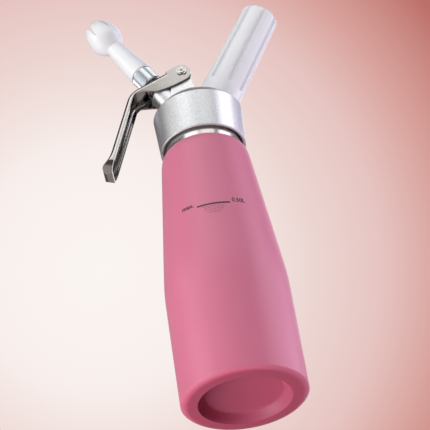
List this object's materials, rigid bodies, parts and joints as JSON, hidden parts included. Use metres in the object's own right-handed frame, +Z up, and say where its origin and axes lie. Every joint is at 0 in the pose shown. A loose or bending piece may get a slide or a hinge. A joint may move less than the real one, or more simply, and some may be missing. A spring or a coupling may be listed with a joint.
{
  "type": "whipped cream dispenser",
  "caption": "Hand-held whipped cream dispenser: pressure bottle, screwed head with squeeze lever, decorating nozzle on a spring valve and a charger holder.",
  "frame": {"origin": "centre of the ring the bottle stands on", "axes": "+Z up along the bottle axis, +X towards the charger holder, -X towards the lever and the nozzle, the lever's pivot along Y"},
  "size_m": [0.1347, 0.08, 0.3189],
  "materials": {
    "powder_coated_aluminium": "matte powder coat, bare at the neck",
    "satin_aluminium": "bead-blasted and anodised",
    "turned_aluminium": "fine turned",
    "polished_steel": "polished",
    "stainless_steel": "satin",
    "zinc_plated_steel": "bright plated",
    "white_polypropylene": "satin",
    "white_acetal": "satin",
    "silicone": "matte"
  },
  "bodies": {
    "bottle": {"bottle": "powder_coated_aluminium"},
    "gasket": {"head_gasket": "silicone"},
    "head": {"head_body": "satin_aluminium", "valve_guide": "white_acetal", "guide_seal": "silicone", "lever_pin": "stainless_steel", "pin_clips": "stainless_steel", "inlet_body": "turned_aluminium", "check_valve": "silicone", "piercing_pin": "stainless_steel", "inlet_seal": "silicone", "valve_spring": "stainless_steel"},
    "lever": {"lever": "polished_steel"},
    "valve": {"valve_stem": "stainless_steel", "valve_seal": "silicone", "valve_nut": "stainless_steel", "spring_cap": "stainless_steel"},
    "nozzle_washer": {"nozzle_seal": "silicone"},
    "nozzle": {"nozzle_adapter": "turned_aluminium", "decorating_nozzle": "white_polypropylene"},
    "charger": {"gas_charger": "zinc_plated_steel", "holder_pad": "silicone"},
    "holder": {"charger_holder": "white_polypropylene"}
  },
  "joints": [
    {"name": "head_lift", "type": "slide", "parent": "bottle", "child": "gasket", "axis": [0, 0, 1], "range_m": [0, 0.009]},
    {"name": "head_turn", "type": "hinge", "parent": "gasket", "child": "head", "pos_m": [0, 0, 0.2], "axis": [0, 0, 1], "range_deg": [0, 810]},
    {"name": "lever_squeeze", "type": "hinge", "parent": "head", "child": "lever", "pos_m": [-0.0059, 0, 0.255], "axis": [0, -1, 0], "range_deg": [0, 10.2]},
    {"name": "valve_push", "type": "slide", "parent": "head", "child": "valve", "axis": [0.5, 0, -0.866], "range_m": [0, 0.0035], "stiffness_N_per_m": 2000, "springref_m": -0.002, "deforming": ["valve_spring"]},
    {"name": "nozzle_lift", "type": "slide", "parent": "valve", "child": "nozzle_washer", "axis": [-0.5, 0, 0.866], "range_m": [0, 0.003]},
    {"name": "nozzle_turn", "type": "hinge", "parent": "nozzle_washer", "child": "nozzle", "pos_m": [0, 0, 0.2068], "axis": [-0.5, 0, 0.866], "range_deg": [0, 1080]},
    {"name": "holder_lift", "type": "slide", "parent": "head", "child": "charger", "axis": [0.5075, 0, 0.8616], "range_m": [0, 0.006]},
    {"name": "holder_turn", "type": "hinge", "parent": "charger", "child": "holder", "pos_m": [0, 0, 0.207], "axis": [0.5075, 0, 0.8616], "range_deg": [0, 1080]}
  ],
  "couplings": [
    {"joint": "head_turn", "follows": "head_lift", "rad_per_m": 1570.7},
    {"joint": "lever_squeeze", "follows": "valve_push", "rad_per_m": 50.76},
    {"joint": "nozzle_turn", "follows": "nozzle_lift", "rad_per_m": 6283},
    {"joint": "holder_turn", "follows": "holder_lift", "rad_per_m": 3141.5}
  ]
}
